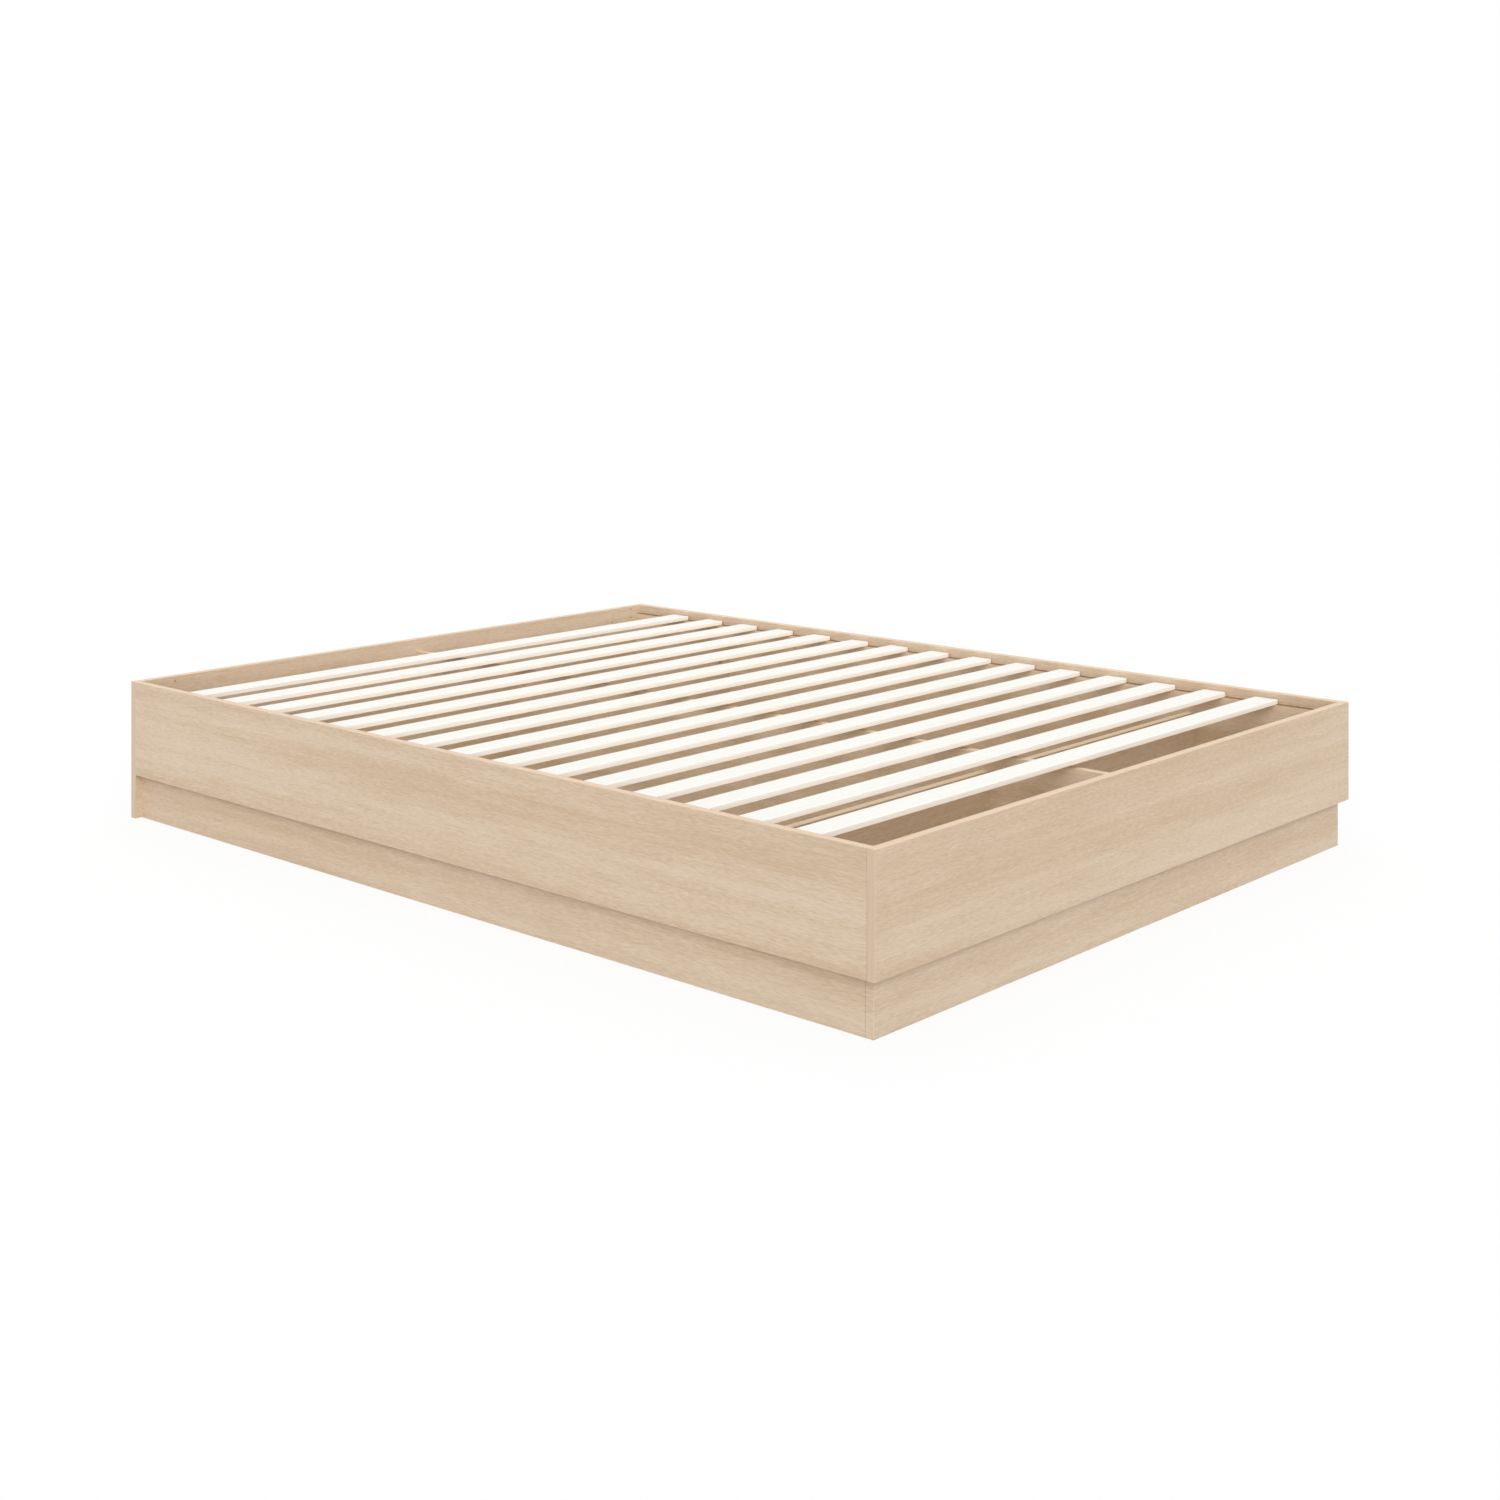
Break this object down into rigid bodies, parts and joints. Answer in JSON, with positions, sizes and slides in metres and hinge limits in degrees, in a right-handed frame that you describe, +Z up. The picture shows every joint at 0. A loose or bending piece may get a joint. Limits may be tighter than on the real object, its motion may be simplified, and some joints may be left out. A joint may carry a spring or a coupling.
{
  "type": "platform bed frame",
  "caption": "Low wooden platform bed frame with a slatted base inside a shallow lip and a set-back plinth.",
  "frame": {"origin": "on the floor, at the middle of the bed", "axes": "+X across the bed to its right-hand rail seen from the foot, +Y to the head, +Z up"},
  "size_m": [1.556, 2.064, 0.295],
  "materials": {
    "panel_board": "light oak melamine, satin",
    "rail_board": "light oak melamine, satin",
    "plinth_board": "light oak melamine, satin",
    "inner_board": "light oak melamine, satin",
    "edge_band": "plain cream band, satin",
    "slat_wood": "pale wood, sanded",
    "zinc_steel": "zinc plated",
    "cam_zinc": "cast zinc",
    "dowel_wood": "beech, fluted",
    "peg_plastic": "natural nylon"
  },
  "bodies": {
    "root": {"head_panel": "panel_board", "foot_panel": "panel_board", "left_rail": "rail_board", "right_rail": "rail_board", "left_support_board": "plinth_board", "right_support_board": "plinth_board", "foot_plinth_board": "plinth_board", "centre_panel": "inner_board", "foot_cross_panel": "inner_board", "head_cross_panel": "inner_board", "head_panel_top_band": "edge_band", "head_panel_left_band": "edge_band", "head_panel_right_band": "edge_band", "foot_panel_top_band": "edge_band", "foot_panel_bottom_band": "edge_band", "foot_panel_left_band": "edge_band", "foot_panel_right_band": "edge_band", "left_rail_top_band": "edge_band", "left_rail_bottom_band": "edge_band", "right_rail_top_band": "edge_band", "right_rail_bottom_band": "edge_band", "foot_plinth_left_band": "edge_band", "foot_plinth_right_band": "edge_band", "centre_panel_top_band": "edge_band", "foot_cross_left_band": "edge_band", "foot_cross_right_band": "edge_band", "head_cross_left_band": "edge_band", "head_cross_right_band": "edge_band", "slat_01": "slat_wood", "slat_02": "slat_wood", "slat_03": "slat_wood", "slat_04": "slat_wood", "slat_05": "slat_wood", "slat_06": "slat_wood", "slat_07": "slat_wood", "slat_08": "slat_wood", "slat_09": "slat_wood", "slat_10": "slat_wood", "slat_11": "slat_wood", "slat_12": "slat_wood", "slat_13": "slat_wood", "slat_14": "slat_wood", "slat_15": "slat_wood", "cam_bolts": "zinc_steel", "cam_discs": "cam_zinc", "dowels": "dowel_wood", "slat_pegs": "peg_plastic", "side_plinth_screws": "zinc_steel", "foot_plinth_screws": "zinc_steel"}
  },
  "joints": []
}
